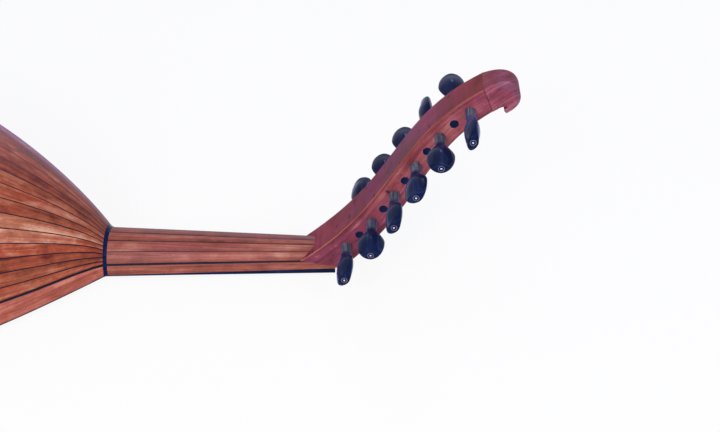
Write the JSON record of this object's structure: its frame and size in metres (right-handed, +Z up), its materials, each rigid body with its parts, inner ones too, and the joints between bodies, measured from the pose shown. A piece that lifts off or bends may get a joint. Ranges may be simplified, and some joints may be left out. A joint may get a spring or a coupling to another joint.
{
  "type": "oud",
  "caption": "Short-necked fretless lute with a deep bowl of bent ribs, a flat soundboard with pierced rosettes and a bent-back pegbox with turning side pegs.",
  "frame": {"origin": "centre of the footprint, in the level plane on which the bridge crown and the nut crown rest", "axes": "+X towards the pegbox, +Z up and out of the back of the bowl, -Y the bass side; the instrument lies face down"},
  "size_m": [0.8456, 0.364, 0.1965],
  "materials": {
    "block_wood": "bare",
    "bone": "satin bone",
    "bridge_wood": "satin lacquer",
    "ebony": "polished",
    "neck_wood": "satin lacquer",
    "nylon": "clear nylon",
    "pegbox_back_wood": "satin lacquer",
    "pegbox_wood": "satin lacquer",
    "rib_dark": "satin lacquer",
    "rib_light": "satin lacquer",
    "rosette_wood": "bare",
    "side_band": "satin lacquer",
    "spruce": "thin satin",
    "wound_string": "silvered winding"
  },
  "bodies": {
    "body": {"bridge": "bridge_wood", "fingerboard": "ebony", "neck": "neck_wood", "neck_block": "block_wood", "neck_joint_ring": "ebony", "nut": "bone", "pegbox_back": "pegbox_back_wood", "pegbox_cheek_bass": "pegbox_wood", "pegbox_cheek_treble": "pegbox_wood", "pegbox_finial": "pegbox_wood", "rib_01": "rib_dark", "rib_02": "rib_light", "rib_03": "rib_dark", "rib_04": "rib_light", "rib_05": "rib_dark", "rib_06": "rib_light", "rib_07": "rib_dark", "rib_08": "rib_light", "rib_09": "rib_dark", "rib_10": "rib_light", "rib_11": "rib_dark", "rib_12": "rib_light", "rib_13": "rib_dark", "rib_14": "rib_light", "rib_15": "rib_dark", "rib_16": "rib_light", "rib_17": "rib_dark", "rib_18": "rib_light", "rib_19": "rib_dark", "rib_20": "rib_light", "rib_bass_band": "side_band", "rib_treble_band": "side_band", "rosette_bass": "rosette_wood", "rosette_main": "rosette_wood", "rosette_treble": "rosette_wood", "soundboard": "spruce", "string_01": "wound_string", "string_02": "wound_string", "string_03": "wound_string", "string_04": "wound_string", "string_05": "wound_string", "string_06": "wound_string", "string_07": "nylon", "string_08": "nylon", "string_09": "nylon", "string_10": "nylon", "string_11": "nylon", "tail_block": "block_wood"},
    "peg_bass_1": {"peg_bass_1": "ebony"},
    "peg_bass_2": {"peg_bass_2": "ebony"},
    "peg_bass_3": {"peg_bass_3": "ebony"},
    "peg_bass_4": {"peg_bass_4": "ebony"},
    "peg_bass_5": {"peg_bass_5": "ebony"},
    "peg_bass_6": {"peg_bass_6": "ebony"},
    "peg_treble_1": {"peg_treble_1": "ebony"},
    "peg_treble_2": {"peg_treble_2": "ebony"},
    "peg_treble_3": {"peg_treble_3": "ebony"},
    "peg_treble_4": {"peg_treble_4": "ebony"},
    "peg_treble_5": {"peg_treble_5": "ebony"}
  },
  "joints": [
    {"name": "tune_bass_1", "type": "hinge", "parent": "body", "child": "peg_bass_1", "pos_m": [0.27987, 0, 0.03089], "axis": [0, 1, 0], "continuous": true},
    {"name": "tune_bass_2", "type": "hinge", "parent": "body", "child": "peg_bass_2", "pos_m": [0.30211, 0, 0.05579], "axis": [0, 1, 0], "continuous": true},
    {"name": "tune_bass_3", "type": "hinge", "parent": "body", "child": "peg_bass_3", "pos_m": [0.32139, 0, 0.08304], "axis": [0, 1, 0], "continuous": true},
    {"name": "tune_bass_4", "type": "hinge", "parent": "body", "child": "peg_bass_4", "pos_m": [0.33914, 0, 0.11134], "axis": [0, 1, 0], "continuous": true},
    {"name": "tune_bass_5", "type": "hinge", "parent": "body", "child": "peg_bass_5", "pos_m": [0.35863, 0, 0.13843], "axis": [0, 1, 0], "continuous": true},
    {"name": "tune_bass_6", "type": "hinge", "parent": "body", "child": "peg_bass_6", "pos_m": [0.3827, 0, 0.16149], "axis": [0, 1, 0], "continuous": true},
    {"name": "tune_treble_1", "type": "hinge", "parent": "body", "child": "peg_treble_1", "pos_m": [0.29137, 0, 0.043], "axis": [0, 1, 0], "continuous": true},
    {"name": "tune_treble_2", "type": "hinge", "parent": "body", "child": "peg_treble_2", "pos_m": [0.31208, 0, 0.06918], "axis": [0, 1, 0], "continuous": true},
    {"name": "tune_treble_3", "type": "hinge", "parent": "body", "child": "peg_treble_3", "pos_m": [0.33028, 0, 0.09718], "axis": [0, 1, 0], "continuous": true},
    {"name": "tune_treble_4", "type": "hinge", "parent": "body", "child": "peg_treble_4", "pos_m": [0.34843, 0, 0.12521], "axis": [0, 1, 0], "continuous": true},
    {"name": "tune_treble_5", "type": "hinge", "parent": "body", "child": "peg_treble_5", "pos_m": [0.37004, 0, 0.15061], "axis": [0, 1, 0], "continuous": true}
  ]
}
